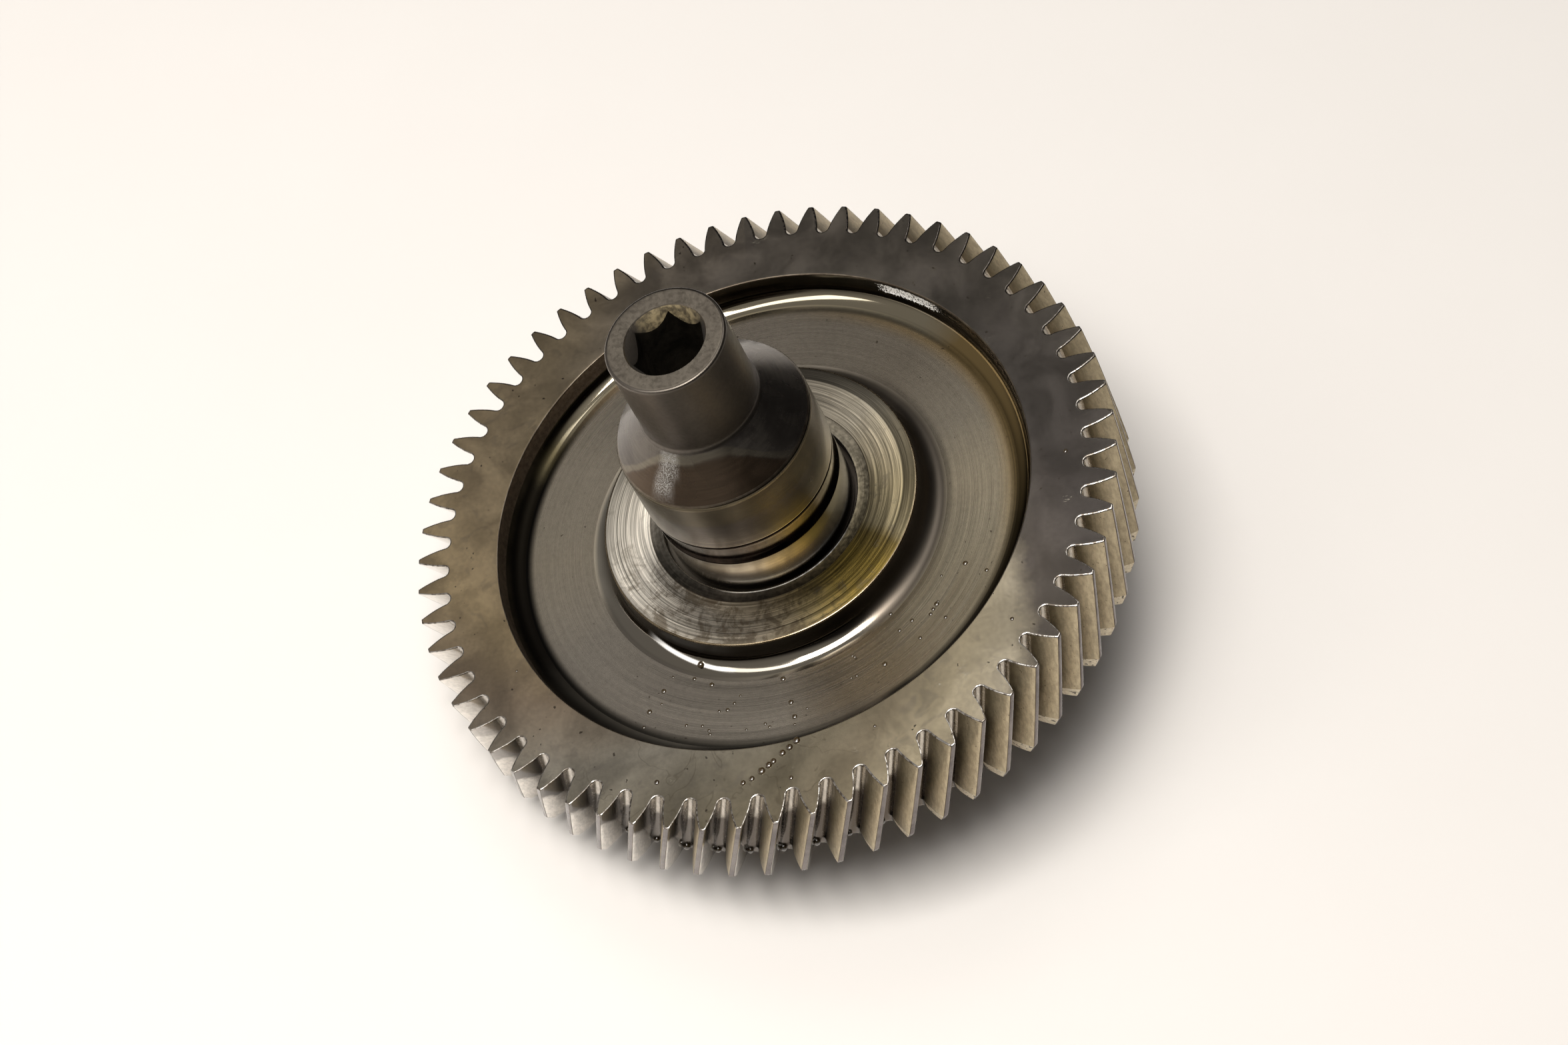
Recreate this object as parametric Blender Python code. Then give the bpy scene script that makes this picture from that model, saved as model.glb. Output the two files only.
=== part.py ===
"""Helical gear wheel on a stub drive shaft with a hexagon socket.

Metres, +Z up. The gear's axis is Z and the origin is the centre of the rear journal's end face.
"""
import math

import bmesh
import bpy
from mathutils import Matrix

MM = 0.001

# Toothing: deep, right-hand helical teeth
TEETH = 62
NORMAL_MODULE = 2.25
NORMAL_PRESSURE_ANGLE = math.radians(15.0)
HELIX_ANGLE = math.radians(21.0)
TIP_R = 78.5
FORM_R = 72.7
ROOT_R = 71.35
FACE_WIDTH = 24.0
EDGE_BREAK = 0.35
END_RELIEF_HEIGHT = 2.6
END_RELIEF_DEPTH = 1.0
END_RELIEF_TIP = 1.4
FLANK_STEPS = 3

# Wheel body
RECESS_R = 59.8
RECESS_DEPTH = 6.7
RECESS_FILLET = 4.0
RECESS_CHAMFER = 0.35
HUB_R = 35.2
HUB_CHAMFER = 0.6
COUNTERBORE_R = 21.9
COUNTERBORE_DEPTH = 2.5
GAP = 0.3

# Shaft, heights from the rim's front face
FRONT_Z = 44.5
SPIGOT_TOP = 62.6
SPIGOT_R = 12.95
SPIGOT_BASE = 40.7
JOURNAL_R = 21.25
JOURNAL_TOP = 31.5
GROOVE_TOP = 14.8
GROOVE_BOTTOM = 9.4
GROOVE_R = 20.0
COLLAR_R = 20.85
SEAT_R = 17.5
SEAT_END = -27.5
REAR_R = 12.5
REAR_CHAMFER = 1.0
SHAFT_SEGMENTS = 60

# Hexagon socket in the spigot
HEX_FLATS = 14.0
HEX_DEPTH = 24.0
HEX_TURN = math.radians(56.4)
MOUTH_R = 8.6
MOUTH_DEPTH = 4.0

# Centre hole in the rear journal
CENTRE_MOUTH_R = 3.0
CENTRE_PILOT_R = 1.25
CENTRE_DEPTH = 6.0

# Key and retaining ring
KEY_WIDTH = 10.0
KEY_BOTTOM_R = 12.5
KEY_TOP_R = 20.5
KEY_FRONT = -4.5
KEY_LENGTH = 16.0
RING_BORE_R = 16.7
RING_R = 20.6
RING_THICK = 1.5
RING_GROOVE_R = 16.4
RING_LUG_R = 2.6
RING_HOLE_R = 1.1
RING_MOUTH = math.radians(24.0)

PITCH = 2.0 * math.pi / TEETH
REFERENCE_R = TEETH * NORMAL_MODULE / (2.0 * math.cos(HELIX_ANGLE))
TWIST_PER_MM = math.tan(HELIX_ANGLE) / REFERENCE_R


def clear_scene():
    for obj in list(bpy.data.objects):
        bpy.data.objects.remove(obj, do_unlink=True)


def material(name, colour, roughness, metallic=1.0):
    mat = bpy.data.materials.new(name)
    mat.use_nodes = True
    shader = mat.node_tree.nodes["Principled BSDF"]
    shader.inputs["Base Color"].default_value = (*colour, 1.0)
    shader.inputs["Roughness"].default_value = roughness
    shader.inputs["Metallic"].default_value = metallic
    return mat


def finish(name, bm, mat, sharp_deg=28.0):
    """Turn a bmesh in millimetres into a smooth-shaded object in metres."""
    bmesh.ops.scale(bm, vec=(MM, MM, MM), verts=bm.verts)
    bmesh.ops.recalc_face_normals(bm, faces=bm.faces)
    mesh = bpy.data.meshes.new(name)
    bm.to_mesh(mesh)
    bm.free()
    mesh.shade_smooth()
    mesh.set_sharp_from_angle(angle=math.radians(sharp_deg))
    mesh.materials.append(mat)
    obj = bpy.data.objects.new(name, mesh)
    bpy.context.collection.objects.link(obj)
    return obj


def cut(target, cutter):
    """Subtract a guide object, which stays in the file as a hidden wire."""
    cutter.hide_render = True
    cutter.display_type = "WIRE"
    mod = target.modifiers.new(cutter.name, "BOOLEAN")
    mod.operation = "DIFFERENCE"
    mod.solver = "EXACT"
    mod.object = cutter


def arc(centre_r, centre_z, radius, start_deg, end_deg, steps):
    points = []
    for i in range(steps + 1):
        a = math.radians(start_deg + (end_deg - start_deg) * i / steps)
        points.append((centre_r + radius * math.cos(a), centre_z + radius * math.sin(a)))
    return points


def ring_of_verts(bm, radius, z, count, turn=0.0):
    verts = []
    for i in range(count):
        a = turn + 2.0 * math.pi * i / count
        verts.append(bm.verts.new((radius * math.cos(a), radius * math.sin(a), z)))
    return verts


def bridge(bm, ring_a, ring_b):
    count = len(ring_a)
    for i in range(count):
        j = (i + 1) % count
        bm.faces.new((ring_a[i], ring_a[j], ring_b[j], ring_b[i]))


def turned(bm, profile, count, turn=0.0):
    """Spin a profile from its first point to its last; ends on the axis close by themselves."""
    rings = [ring_of_verts(bm, r, z, count, turn) for r, z in profile]
    for upper, lower in zip(rings, rings[1:]):
        bridge(bm, upper, lower)
    return rings


def involute(angle):
    return math.tan(angle) - angle


def half_tooth_angle(radius):
    """Half of a tooth's angular thickness on its involute flank."""
    transverse = math.atan(math.tan(NORMAL_PRESSURE_ANGLE) / math.cos(HELIX_ANGLE))
    base_r = REFERENCE_R * math.cos(transverse)
    here = math.acos(min(1.0, base_r / radius))
    return PITCH / 4.0 + involute(transverse) - involute(here)


def tooth_side(tip_r, root_r, thinner):
    """Points (radius, angle from the tooth's middle) from the tip to the middle of the space."""
    side = []
    for i in range(FLANK_STEPS + 1):
        r = tip_r + (FORM_R - tip_r) * i / FLANK_STEPS
        side.append((r, half_tooth_angle(min(r, TIP_R)) - thinner / r))
    form_angle = side[-1][1]
    t = math.radians(52.0)
    side.append((FORM_R - (FORM_R - root_r) * math.sin(t),
                 PITCH / 2.0 - (PITCH / 2.0 - form_angle) * math.cos(t)))
    side.append((root_r, PITCH / 2.0))
    return side


def tooth_section(bm, z, tip_r, root_r, thin_back, thin_front):
    """One slice through all the teeth: a list of vertices per tooth, ending in the next space."""
    back = tooth_side(tip_r, root_r, thin_back)
    front = tooth_side(tip_r, root_r, thin_front)
    outline = [(r, -a) for r, a in reversed(back[:-1])] + front
    teeth = []
    for k in range(TEETH):
        centre = k * PITCH + TWIST_PER_MM * (z + EDGE_BREAK)
        teeth.append([bm.verts.new((r * math.cos(centre + a), r * math.sin(centre + a), z))
                      for r, a in outline])
    return teeth


def end_face(bm, teeth, inner):
    """Flat ring between the tooth outline and a circle with one vertex per space."""
    for k in range(TEETH):
        before = teeth[k - 1][-1]
        bm.faces.new([before] + teeth[k] + [inner[k], inner[k - 1]])


def recess_profile():
    """Front half of the wheel body from the rim's inner edge to the hub's outer edge."""
    wall_z = -(RECESS_DEPTH - RECESS_FILLET)
    points = [(RECESS_R + RECESS_CHAMFER, 0.0), (RECESS_R, -RECESS_CHAMFER)]
    points += arc(RECESS_R - RECESS_FILLET, wall_z, RECESS_FILLET, 0.0, -90.0, 3)
    points += arc(HUB_R + RECESS_FILLET, wall_z, RECESS_FILLET, -90.0, -180.0, 3)
    points += [(HUB_R, -HUB_CHAMFER), (HUB_R - HUB_CHAMFER, 0.0)]
    return points


def gear_wheel(mat):
    bm = bmesh.new()
    sections = [
        tooth_section(bm, 0.0, TIP_R - EDGE_BREAK, ROOT_R - EDGE_BREAK, EDGE_BREAK, EDGE_BREAK),
        tooth_section(bm, -EDGE_BREAK, TIP_R, ROOT_R, 0.0, 0.0),
        tooth_section(bm, END_RELIEF_HEIGHT - FACE_WIDTH, TIP_R, ROOT_R, 0.0, 0.0),
        tooth_section(bm, -FACE_WIDTH, TIP_R - END_RELIEF_TIP, ROOT_R - EDGE_BREAK,
                      END_RELIEF_DEPTH, EDGE_BREAK),
    ]
    for upper, lower in zip(sections, sections[1:]):
        loop_a = [v for tooth in upper for v in tooth]
        loop_b = [v for tooth in lower for v in tooth]
        bridge(bm, loop_a, loop_b)
    front = recess_profile()
    bore_r = SEAT_R + GAP
    rear = [(r, -FACE_WIDTH - z) for r, z in reversed(front)]
    middle = [(COUNTERBORE_R, 0.0), (COUNTERBORE_R, -COUNTERBORE_DEPTH),
              (bore_r, -COUNTERBORE_DEPTH), (bore_r, -FACE_WIDTH)]
    rings = turned(bm, front + middle + rear, TEETH, PITCH / 2.0)
    end_face(bm, sections[0], rings[0])
    shift = round(TWIST_PER_MM * FACE_WIDTH / PITCH)
    last = rings[-1]
    end_face(bm, sections[-1], last[-shift:] + last[:-shift])
    bmesh.ops.translate(bm, vec=(0.0, 0.0, FRONT_Z), verts=bm.verts)
    wheel = finish("gear_wheel", bm, mat)
    slot = box("hub_keyway", SEAT_R - 4.0, KEY_TOP_R + GAP, KEY_WIDTH + 2 * GAP,
               -FACE_WIDTH - 1.0, -1.0, mat)
    cut(wheel, slot)
    return wheel


def box(name, x0, x1, width, z0, z1, mat):
    """A block from x0 to x1, centred on Y; heights are from the rim's front face."""
    bm = bmesh.new()
    bmesh.ops.create_cube(bm, size=1.0)
    bmesh.ops.scale(bm, vec=(x1 - x0, width, z1 - z0), verts=bm.verts)
    bmesh.ops.translate(bm, vec=((x0 + x1) / 2.0, 0.0, FRONT_Z + (z0 + z1) / 2.0), verts=bm.verts)
    return finish(name, bm, mat)


def shaft_profile():
    top = SPIGOT_TOP
    ring_front = -FACE_WIDTH
    ring_back = ring_front - RING_THICK - 2 * GAP
    rear_end = -FRONT_Z
    return [
        (SPIGOT_R - 0.6, top), (SPIGOT_R - 0.15, top - 0.2), (SPIGOT_R, top - 0.6),
        (SPIGOT_R, SPIGOT_BASE + 1.2), (SPIGOT_R + 0.15, SPIGOT_BASE + 0.5),
        (SPIGOT_R + 0.5, SPIGOT_BASE - 0.1),
        (JOURNAL_R - 0.35, JOURNAL_TOP + 0.5), (JOURNAL_R, JOURNAL_TOP),
        (JOURNAL_R, GROOVE_TOP + 0.4), (JOURNAL_R - 0.35, GROOVE_TOP),
        (GROOVE_R + 0.2, GROOVE_TOP - 0.5), (GROOVE_R, GROOVE_TOP - 1.2),
        (GROOVE_R, GROOVE_BOTTOM + 1.8), (GROOVE_R + 0.3, GROOVE_BOTTOM + 0.7),
        (COLLAR_R, GROOVE_BOTTOM),
        (COLLAR_R, -COUNTERBORE_DEPTH + GAP + 0.4),
        (COLLAR_R - 0.4, -COUNTERBORE_DEPTH + GAP), (SEAT_R, -COUNTERBORE_DEPTH + GAP),
        (SEAT_R, ring_front), (RING_GROOVE_R, ring_front), (RING_GROOVE_R, ring_back),
        (SEAT_R, ring_back), (SEAT_R, SEAT_END + 0.5), (SEAT_R - 0.5, SEAT_END),
        (REAR_R + 0.5, SEAT_END), (REAR_R, SEAT_END - 0.5),
        (REAR_R, rear_end + REAR_CHAMFER), (REAR_R - REAR_CHAMFER, rear_end),
    ]


def socket_cutter(mat):
    """Hexagon hole with a conical bottom, and a steep round lead-in at its mouth."""
    top = SPIGOT_TOP + 1.0
    corner_r = HEX_FLATS / (2.0 * math.cos(math.pi / 6.0))
    flat_r = HEX_FLATS / 2.0
    bm = bmesh.new()
    upper = ring_of_verts(bm, corner_r, FRONT_Z + top, 6, HEX_TURN)
    lower = ring_of_verts(bm, corner_r, FRONT_Z + SPIGOT_TOP - HEX_DEPTH, 6, HEX_TURN)
    bridge(bm, upper, lower)
    bm.faces.new(upper)
    tip = bm.verts.new((0.0, 0.0, FRONT_Z + SPIGOT_TOP - HEX_DEPTH - corner_r * 0.5))
    for i in range(6):
        bm.faces.new((lower[i], lower[(i + 1) % 6], tip))
    hexagon = finish("socket_hexagon", bm, mat)
    slope = (MOUTH_R - flat_r) / MOUTH_DEPTH
    bm = bmesh.new()
    rings = turned(bm, [(MOUTH_R + slope, FRONT_Z + top),
                        (flat_r - slope * 0.5, FRONT_Z + SPIGOT_TOP - MOUTH_DEPTH - 0.5)],
                   SHAFT_SEGMENTS)
    bm.faces.new(rings[0])
    bm.faces.new(rings[1])
    return hexagon, finish("socket_mouth", bm, mat)


def centre_hole_cutter(mat):
    """60 degree lathe centre with a pilot hole, open at the rear end."""
    cone_height = (CENTRE_MOUTH_R - CENTRE_PILOT_R) * math.sqrt(3.0)
    mouth = (CENTRE_MOUTH_R + 1.0 / math.sqrt(3.0), -1.0)
    bm = bmesh.new()
    rings = turned(bm, [(CENTRE_PILOT_R, CENTRE_DEPTH), (CENTRE_PILOT_R, cone_height), mouth], 24)
    bm.faces.new(rings[0])
    bm.faces.new(rings[-1])
    return finish("centre_hole", bm, mat)


def drive_shaft(mat):
    bm = bmesh.new()
    rings = turned(bm, shaft_profile(), SHAFT_SEGMENTS)
    bm.faces.new(rings[0])
    bm.faces.new(rings[-1])
    bmesh.ops.translate(bm, vec=(0.0, 0.0, FRONT_Z), verts=bm.verts)
    shaft = finish("drive_shaft", bm, mat)
    for cutter in (*socket_cutter(mat), centre_hole_cutter(mat)):
        cut(shaft, cutter)
    slot = box("shaft_keyway", KEY_BOTTOM_R - GAP, SEAT_R + 4.0, KEY_WIDTH + 2 * GAP,
               KEY_FRONT - KEY_LENGTH - GAP, KEY_FRONT + GAP, mat)
    cut(shaft, slot)
    return shaft


def drive_key(mat):
    key = box("drive_key", KEY_BOTTOM_R, KEY_TOP_R, KEY_WIDTH, KEY_FRONT - KEY_LENGTH, KEY_FRONT, mat)
    bevel = key.modifiers.new("edge_break", "BEVEL")
    bevel.width = 0.4 * MM
    bevel.segments = 1
    return key


def retaining_ring(mat):
    """Open external ring, widest opposite its mouth, with a holed lug at each end."""
    steps = 40
    inner, outer = [], []
    for i in range(steps + 1):
        a = math.pi + RING_MOUTH / 2.0 + (2.0 * math.pi - RING_MOUTH) * i / steps
        width = (RING_R - RING_BORE_R) * (0.8 + 0.2 * math.cos(a))
        inner.append((RING_BORE_R * math.cos(a), RING_BORE_R * math.sin(a)))
        outer.append(((RING_BORE_R + width) * math.cos(a), (RING_BORE_R + width) * math.sin(a)))
    bm = bmesh.new()
    z_top = FRONT_Z - FACE_WIDTH - GAP
    z_bottom = z_top - RING_THICK
    loops = [[bm.verts.new((x, y, z)) for x, y in points]
             for points, z in ((inner, z_top), (outer, z_top), (outer, z_bottom), (inner, z_bottom))]
    for j in range(4):
        a_side, b_side = loops[j], loops[(j + 1) % 4]
        for i in range(steps):
            bm.faces.new((a_side[i], a_side[i + 1], b_side[i + 1], b_side[i]))
    for i in (0, steps):
        bm.faces.new([loop[i] for loop in loops])
    ring = finish("retaining_ring", bm, mat)
    lug_centre_r = RING_BORE_R + RING_LUG_R + 0.1
    for name, side in (("lug_a", 1.0), ("lug_b", -1.0)):
        angle = math.pi + side * (RING_MOUTH / 2.0 + math.radians(8.0))
        spot = Matrix.Translation((lug_centre_r * math.cos(angle), lug_centre_r * math.sin(angle),
                                   (z_top + z_bottom) / 2.0))
        lug_bm = bmesh.new()
        bmesh.ops.create_cone(lug_bm, cap_ends=True, segments=20, radius1=RING_LUG_R,
                              radius2=RING_LUG_R, depth=RING_THICK, matrix=spot)
        lug = finish(name, lug_bm, mat)
        lug.hide_render = True
        lug.display_type = "WIRE"
        mod = ring.modifiers.new(name, "BOOLEAN")
        mod.operation = "UNION"
        mod.solver = "EXACT"
        mod.object = lug
        hole_bm = bmesh.new()
        bmesh.ops.create_cone(hole_bm, cap_ends=True, segments=14, radius1=RING_HOLE_R,
                              radius2=RING_HOLE_R, depth=RING_THICK * 3.0, matrix=spot)
        cut(ring, finish(name + "_hole", hole_bm, mat))
    return ring


def main():
    clear_scene()
    gear_wheel(material("oiled_gear_steel", (0.16, 0.145, 0.125), 0.34))
    drive_shaft(material("worn_shaft_steel", (0.20, 0.18, 0.155), 0.36))
    drive_key(material("key_steel", (0.32, 0.31, 0.30), 0.42))
    retaining_ring(material("spring_steel", (0.07, 0.068, 0.07), 0.45))


main()
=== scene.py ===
"""Looks of the helical gear wheel and its drive shaft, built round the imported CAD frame.

Sizes inside the modelling functions are in millimetres; objects are made in metres.
The gear's axis is Z. Radii and heights are measured from that axis and from the rim's front face.
"""

import math
import random

import bmesh
import bpy
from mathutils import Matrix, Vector


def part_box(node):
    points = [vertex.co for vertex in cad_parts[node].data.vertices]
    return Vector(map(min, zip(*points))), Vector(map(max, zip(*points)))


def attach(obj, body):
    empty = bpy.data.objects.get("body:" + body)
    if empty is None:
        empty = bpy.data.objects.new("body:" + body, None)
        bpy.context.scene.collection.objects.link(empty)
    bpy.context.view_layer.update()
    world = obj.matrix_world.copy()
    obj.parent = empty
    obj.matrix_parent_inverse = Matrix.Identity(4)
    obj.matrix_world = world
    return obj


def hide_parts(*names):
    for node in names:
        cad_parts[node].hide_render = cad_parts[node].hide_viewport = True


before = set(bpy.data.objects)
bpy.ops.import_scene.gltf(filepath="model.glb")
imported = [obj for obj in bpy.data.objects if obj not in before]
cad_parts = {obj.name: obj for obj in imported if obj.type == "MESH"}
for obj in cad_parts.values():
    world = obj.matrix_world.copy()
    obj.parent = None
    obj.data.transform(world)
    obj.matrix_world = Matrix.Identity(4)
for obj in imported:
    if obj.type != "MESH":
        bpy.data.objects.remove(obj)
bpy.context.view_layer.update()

MM = 0.001
FRONT_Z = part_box("gear_wheel")[1].z / MM
REAR_END = -FRONT_Z
SPIGOT_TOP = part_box("drive_shaft")[1].z / MM - FRONT_Z
FACE_WIDTH = (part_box("gear_wheel")[1].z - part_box("gear_wheel")[0].z) / MM

# Toothing
TEETH = 62
NORMAL_MODULE = 2.25
NORMAL_PRESSURE_ANGLE = math.radians(15.0)
HELIX_ANGLE = math.radians(21.0)
TIP_R = 78.5
FORM_R = 72.7
ROOT_R = 71.35
EDGE = 0.24
TIP_EDGE = 0.10
RELIEF_HEIGHT = 2.9
RELIEF_DEPTH = 1.0
RELIEF_TIP = 1.4
FLANK_STEPS = 7
FILLET_STEPS = 5
PITCH = 2.0 * math.pi / TEETH
REFERENCE_R = TEETH * NORMAL_MODULE / (2.0 * math.cos(HELIX_ANGLE))
TWIST_PER_MM = math.tan(HELIX_ANGLE) / REFERENCE_R
RING_SPLIT = 4
FACE_RING_R = 69.2

# Wheel body
RECESS_R = 59.8
RECESS_DEPTH = 6.7
RECESS_FILLET = 4.0
HUB_R = 35.2
COUNTERBORE_R = 21.9
COUNTERBORE_DEPTH = 2.5
WORN_R = 24.7
BORE_R = 17.8
KEYWAY_R = 20.8
KEYWAY_WIDTH = 10.6

# Shaft
SPIGOT_R = 12.95
JOURNAL_R = 21.25
GROOVE_R = 20.0
COLLAR_R = 20.85
SEAT_R = 17.5
RING_GROOVE_R = 16.4
REAR_R = 12.5
HEX_FLATS = 14.0
HEX_DEPTH = 24.0
HEX_TURN = math.radians(56.4)
MOUTH_R = 8.6
MOUTH_DEPTH = 4.0
SHAFT_SEGMENTS = 192
CONE_TOP = 41.0
CONE_FOOT = 32.0
JOURNAL_FOOT = 16.5
GROOVE_TOP = 14.2
GROOVE_FOOT = 10.8
COLLAR_TOP = 9.4
COLLAR_FOOT = -1.8
SEAT_END = -27.5
RING_SLOT = 2.1

# The table plane: the part leans on its rear journal's end edge and on the rim's rear edge
LEAN = math.radians(17.35)
LEAN_TOWARDS = math.radians(87.4)
LEAN_EDGE_R = 11.5

# Camera, in metres and degrees
CAMERA_AT = (-0.44643, -0.18057, 0.67439)
CAMERA_TURN = (33.143, 17.346, -92.829)
CAMERA_LENS = 84.89

BACKDROP = (1.0, 0.965, 0.91)
TABLE_R = 6.0
TABLE_FADE_START = 0.36
TABLE_FADE_END = 0.85

# Tones round the axis: degrees from -X (positive towards -Y), colour. At 180 each comes back to its first
# These tones hold painted light and shade as well as the steel's own colour: sides are lighter or darker for
# how the light falls on them
RIM_TONES = ((-180, (0.31, 0.275, 0.235)), (-155, (0.42, 0.36, 0.29)), (-135, (0.61, 0.495, 0.33)),
             (-105, (0.59, 0.465, 0.30)), (-80, (0.72, 0.56, 0.34)), (-55, (0.44, 0.345, 0.25)),
             (-30, (0.48, 0.44, 0.37)), (-10, (0.37, 0.33, 0.255)), (5, (0.30, 0.26, 0.185)),
             (20, (0.38, 0.32, 0.225)), (38, (0.72, 0.62, 0.44)), (54, (0.68, 0.60, 0.46)),
             (62, (0.20, 0.175, 0.155)), (85, (0.135, 0.12, 0.112)), (110, (0.145, 0.13, 0.118)),
             (150, (0.235, 0.21, 0.18)))
WEB_TONES = ((-180, (0.42, 0.37, 0.31)), (-150, (0.45, 0.40, 0.335)), (-120, (0.60, 0.53, 0.43)),
             (-90, (0.50, 0.44, 0.345)), (-60, (0.345, 0.31, 0.265)), (-30, (0.325, 0.29, 0.25)),
             (0, (0.33, 0.295, 0.25)), (17, (0.22, 0.185, 0.14)), (30, (0.34, 0.275, 0.19)),
             (45, (0.44, 0.38, 0.28)), (75, (0.44, 0.385, 0.285)), (90, (0.48, 0.415, 0.305)),
             (110, (0.335, 0.295, 0.235)), (135, (0.26, 0.225, 0.18)), (160, (0.325, 0.285, 0.235)))
THRUST_TONES = ((-180, (0.22, 0.19, 0.16)), (-145, (0.27, 0.24, 0.205)), (-105, (0.70, 0.645, 0.55)),
                (-60, (0.74, 0.685, 0.60)), (-25, (0.70, 0.635, 0.535)), (0, (0.62, 0.54, 0.41)),
                (18, (0.70, 0.56, 0.28)), (35, (0.72, 0.52, 0.14)), (50, (0.56, 0.40, 0.10)),
                (60, (0.38, 0.28, 0.10)), (67, (0.66, 0.56, 0.34)), (85, (0.74, 0.62, 0.38)),
                (105, (0.62, 0.53, 0.37)), (125, (0.47, 0.42, 0.33)), (150, (0.28, 0.25, 0.20)))
INNER_TONES = ((-180, (0.30, 0.27, 0.22)), (-90, (0.20, 0.18, 0.15)), (-60, (0.10, 0.09, 0.075)),
               (-30, (0.065, 0.057, 0.048)), (0, (0.060, 0.051, 0.041)), (20, (0.10, 0.08, 0.05)),
               (45, (0.22, 0.17, 0.09)), (75, (0.50, 0.43, 0.29)), (120, (0.55, 0.49, 0.38)))
COLLAR_TONES = ((-180, (0.10, 0.08, 0.06)), (-75, (0.20, 0.175, 0.14)), (-35, (0.33, 0.295, 0.245)),
                (-5, (0.17, 0.15, 0.12)), (10, (0.085, 0.068, 0.042)), (24, (0.028, 0.021, 0.012)),
                (42, (0.006, 0.0045, 0.003)), (75, (0.008, 0.006, 0.004)))
# Oil at the foot of the recess's wall, at the foot of the hub, and on the hub's side; these tones also hold
# painted shade, near black on the sides where reflections are hidden
WALL_FOOT_TONES = ((-180, (0.34, 0.30, 0.22)), (-134, (0.34, 0.30, 0.22)), (-123, (0.07, 0.058, 0.032)),
                   (-112, (0.006, 0.005, 0.0035)), (-64, (0.006, 0.005, 0.004)), (-38, (0.055, 0.049, 0.040)),
                   (-5, (0.13, 0.118, 0.098)), (17, (0.11, 0.097, 0.078)), (40, (0.06, 0.051, 0.038)),
                   (75, (0.09, 0.068, 0.035)), (100, (0.24, 0.17, 0.075)), (128, (0.28, 0.20, 0.09)),
                   (138, (0.34, 0.30, 0.22)))
HUB_FOOT_TONES = ((-180, (0.10, 0.085, 0.065)), (-110, (0.29, 0.267, 0.226)), (-55, (0.255, 0.232, 0.197)),
                  (-30, (0.27, 0.243, 0.20)), (18, (0.30, 0.27, 0.22)), (38, (0.12, 0.10, 0.08)),
                  (60, (0.075, 0.064, 0.052)), (120, (0.075, 0.064, 0.052)))
HUB_SIDE_TONES = ((-180, (0.10, 0.085, 0.065)), (-100, (0.18, 0.16, 0.13)), (-58, (0.12, 0.105, 0.085)),
                  (-38, (0.035, 0.029, 0.022)), (25, (0.030, 0.025, 0.019)), (50, (0.055, 0.046, 0.037)),
                  (70, (0.095, 0.080, 0.066)), (120, (0.095, 0.080, 0.066)))


# ---- node helpers

class Tree:
    """Short names for the shader nodes used below."""

    def __init__(self, tree):
        self.tree = tree

    def node(self, kind, inputs=(), **settings):
        """A new node; inputs are in order, or keyed by name or number."""
        made = self.tree.nodes.new(kind)
        for key, value in settings.items():
            setattr(made, key, value)
        for key, value in inputs.items() if isinstance(inputs, dict) else enumerate(inputs):
            self.put(made.inputs[key], value)
        return made

    def put(self, socket, value):
        if isinstance(value, bpy.types.NodeSocket):
            self.tree.links.new(value, socket)
        else:
            socket.default_value = value

    def math(self, operation, a, b=0.0, c=0.0):
        return self.node("ShaderNodeMath", (a, b, c), operation=operation).outputs[0]

    def times(self, a, b):
        return self.math("MULTIPLY", a, b)

    def plus(self, a, b):
        return self.math("ADD", a, b)

    def rest(self, value):
        """What is missing to 1."""
        return self.math("SUBTRACT", 1.0, value)

    def vector(self, operation, a, b=(0.0, 0.0, 0.0)):
        made = self.node("ShaderNodeVectorMath", (a, b), operation=operation)
        return made.outputs["Value" if operation in ("LENGTH", "DOT_PRODUCT") else "Vector"]

    def mix(self, factor, a, b):
        """From a to b; each is a socket or three numbers."""
        a, b = (colour(v) if isinstance(v, (tuple, list)) else v for v in (a, b))
        return self.node("ShaderNodeMix", {0: factor, 6: a, 7: b}, data_type="RGBA").outputs[2]

    def ramp(self, value, low, high, from_low=0.0, from_high=1.0):
        """Clamped smooth step from from_low to from_high as value goes from low to high."""
        return self.node("ShaderNodeMapRange", (value, low, high, from_low, from_high),
                         interpolation_type="SMOOTHSTEP").outputs[0]

    def noise(self, vector, scale, detail=3.0, roughness=0.55, distortion=0.0):
        return self.node("ShaderNodeTexNoise", {
            "Vector": vector, "Scale": scale, "Detail": detail, "Roughness": roughness,
            "Distortion": distortion}).outputs["Fac"]

    def combine(self, x, y, z):
        return self.node("ShaderNodeCombineXYZ", (x, y, z)).outputs[0]


def colour(values):
    return (*values, 1.0)


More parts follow.
